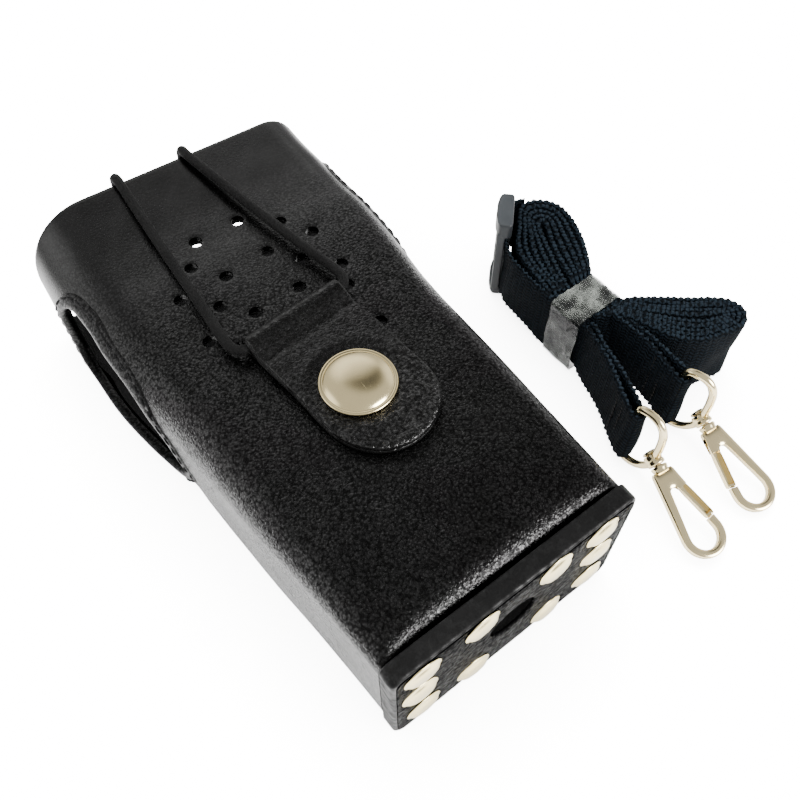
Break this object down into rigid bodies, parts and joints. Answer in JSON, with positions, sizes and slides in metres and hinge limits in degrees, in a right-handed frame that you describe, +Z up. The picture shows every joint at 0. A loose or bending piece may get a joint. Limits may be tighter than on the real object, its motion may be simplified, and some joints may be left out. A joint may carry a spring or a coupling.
{
  "type": "radio carry case",
  "caption": "Leather belt case for a handheld radio, with an elastic cord and snap tab over its open end, side windows, a riveted base plate, and a folded webbing strap with swivel hooks.",
  "frame": {"origin": "middle of the base plate's rear edge, the flat strip the case rests on", "axes": "+X across the case to its right seen from the front, +Y from the base plate to the open end, +Z up, out of the front"},
  "size_m": [0.1243, 0.1415, 0.039],
  "materials": {
    "case_leather": "semi-gloss, pebble grain",
    "trim_leather": "smooth, semi-gloss",
    "facing_leather": "matt, coarse grain",
    "painted_edge": "smooth painted edge, satin",
    "lining": "matt",
    "board": "matt board",
    "nickel": "polished, warm nickel",
    "elastic": "satin braid",
    "webbing": "ribbed weave, blue-black",
    "clear_band": "translucent film",
    "black_plastic": "glossy moulding"
  },
  "bodies": {
    "case": {"outer_shell": "case_leather", "back_panel": "case_leather", "back_stiffener": "board", "pocket_lining": "lining", "window_trim_left": "trim_leather", "window_trim_right": "trim_leather", "end_plate_core": "painted_edge", "end_plate_facing": "facing_leather", "base_pad": "board", "base_rivet_caps": "nickel", "base_rivet_posts": "nickel", "snap_stud": "nickel", "snap_stud_post": "nickel", "belt_loop": "case_leather", "belt_loop_rivets": "nickel", "ring_keeper_left": "case_leather", "ring_keeper_right": "case_leather", "ring_keeper_rivets": "nickel", "cord_anchor_patch": "case_leather", "cord_anchor_rivets": "nickel", "cord_ends": "elastic"},
    "cord": {"elastic_cord": "elastic"},
    "tab": {"snap_tab": "case_leather", "snap_cap": "nickel", "snap_socket": "nickel"},
    "ring_left": {"d_ring_left": "nickel"},
    "ring_right": {"d_ring_right": "nickel"},
    "strap": {"strap_webbing": "webbing", "bundle_band": "clear_band"},
    "slider": {"strap_slider": "black_plastic"},
    "eye_1": {"hook_eye_1": "nickel"},
    "hook_1": {"hook_body_1": "nickel", "hook_gate_pin_1": "nickel"},
    "gate_1": {"hook_gate_1": "nickel"},
    "eye_2": {"hook_eye_2": "nickel"},
    "hook_2": {"hook_body_2": "nickel", "hook_gate_pin_2": "nickel"},
    "gate_2": {"hook_gate_2": "nickel"}
  },
  "joints": [
    {"name": "cord_swing", "type": "hinge", "parent": "case", "child": "cord", "pos_m": [0, 0.1253, 0.004], "axis": [-1, 0, 0], "range_deg": [0, 120]},
    {"name": "tab_lift", "type": "hinge", "parent": "cord", "child": "tab", "pos_m": [0.00055, 0.067, 0.03575], "axis": [-0.9971, -0.0767, 0], "range_deg": [0, 140]},
    {"name": "ring_left_swing", "type": "hinge", "parent": "case", "child": "ring_left", "pos_m": [-0.022, 0.108, 0.00175], "axis": [-1, 0, 0], "range_deg": [0, 175]},
    {"name": "ring_right_swing", "type": "hinge", "parent": "case", "child": "ring_right", "pos_m": [0.022, 0.108, 0.00175], "axis": [-1, 0, 0], "range_deg": [0, 175]},
    {"name": "strap_lift", "type": "slide", "parent": "case", "child": "strap", "axis": [0, 0, 1], "range_m": [0, 0.15]},
    {"name": "slider_adjust", "type": "slide", "parent": "strap", "child": "slider", "axis": [0.7001, 0.7141, 0], "range_m": [-0.0015, 0.0015]},
    {"name": "eye_1_swing", "type": "hinge", "parent": "strap", "child": "eye_1", "pos_m": [0.0493, 0.0148, 0.01], "axis": [0, 0, 1], "range_deg": [-25, 10]},
    {"name": "hook_1_swivel", "type": "hinge", "parent": "eye_1", "child": "hook_1", "pos_m": [0.05028, 0.00785, 0.0072], "axis": [-0.1347, -0.9607, -0.2427], "continuous": true},
    {"name": "gate_1_open", "type": "hinge", "parent": "hook_1", "child": "gate_1", "pos_m": [0.05121, 0.00184, 0.00574], "axis": [0.0337, 0.2404, -0.9701], "range_deg": [0, 20], "stiffness_Nm_per_rad": 0.002},
    {"name": "eye_2_swing", "type": "hinge", "parent": "strap", "child": "eye_2", "pos_m": [0.064, 0.0152, 0.01], "axis": [0, 0, 1], "range_deg": [-10, 45]},
    {"name": "hook_2_swivel", "type": "hinge", "parent": "eye_2", "child": "hook_2", "pos_m": [0.06645, 0.00862, 0.0069], "axis": [-0.096, -0.9652, -0.2432], "continuous": true},
    {"name": "gate_2_open", "type": "hinge", "parent": "hook_2", "child": "gate_2", "pos_m": [0.06413, 0.003, 0.00544], "axis": [-0.0241, -0.242, 0.97], "range_deg": [0, 20], "stiffness_Nm_per_rad": 0.002}
  ]
}
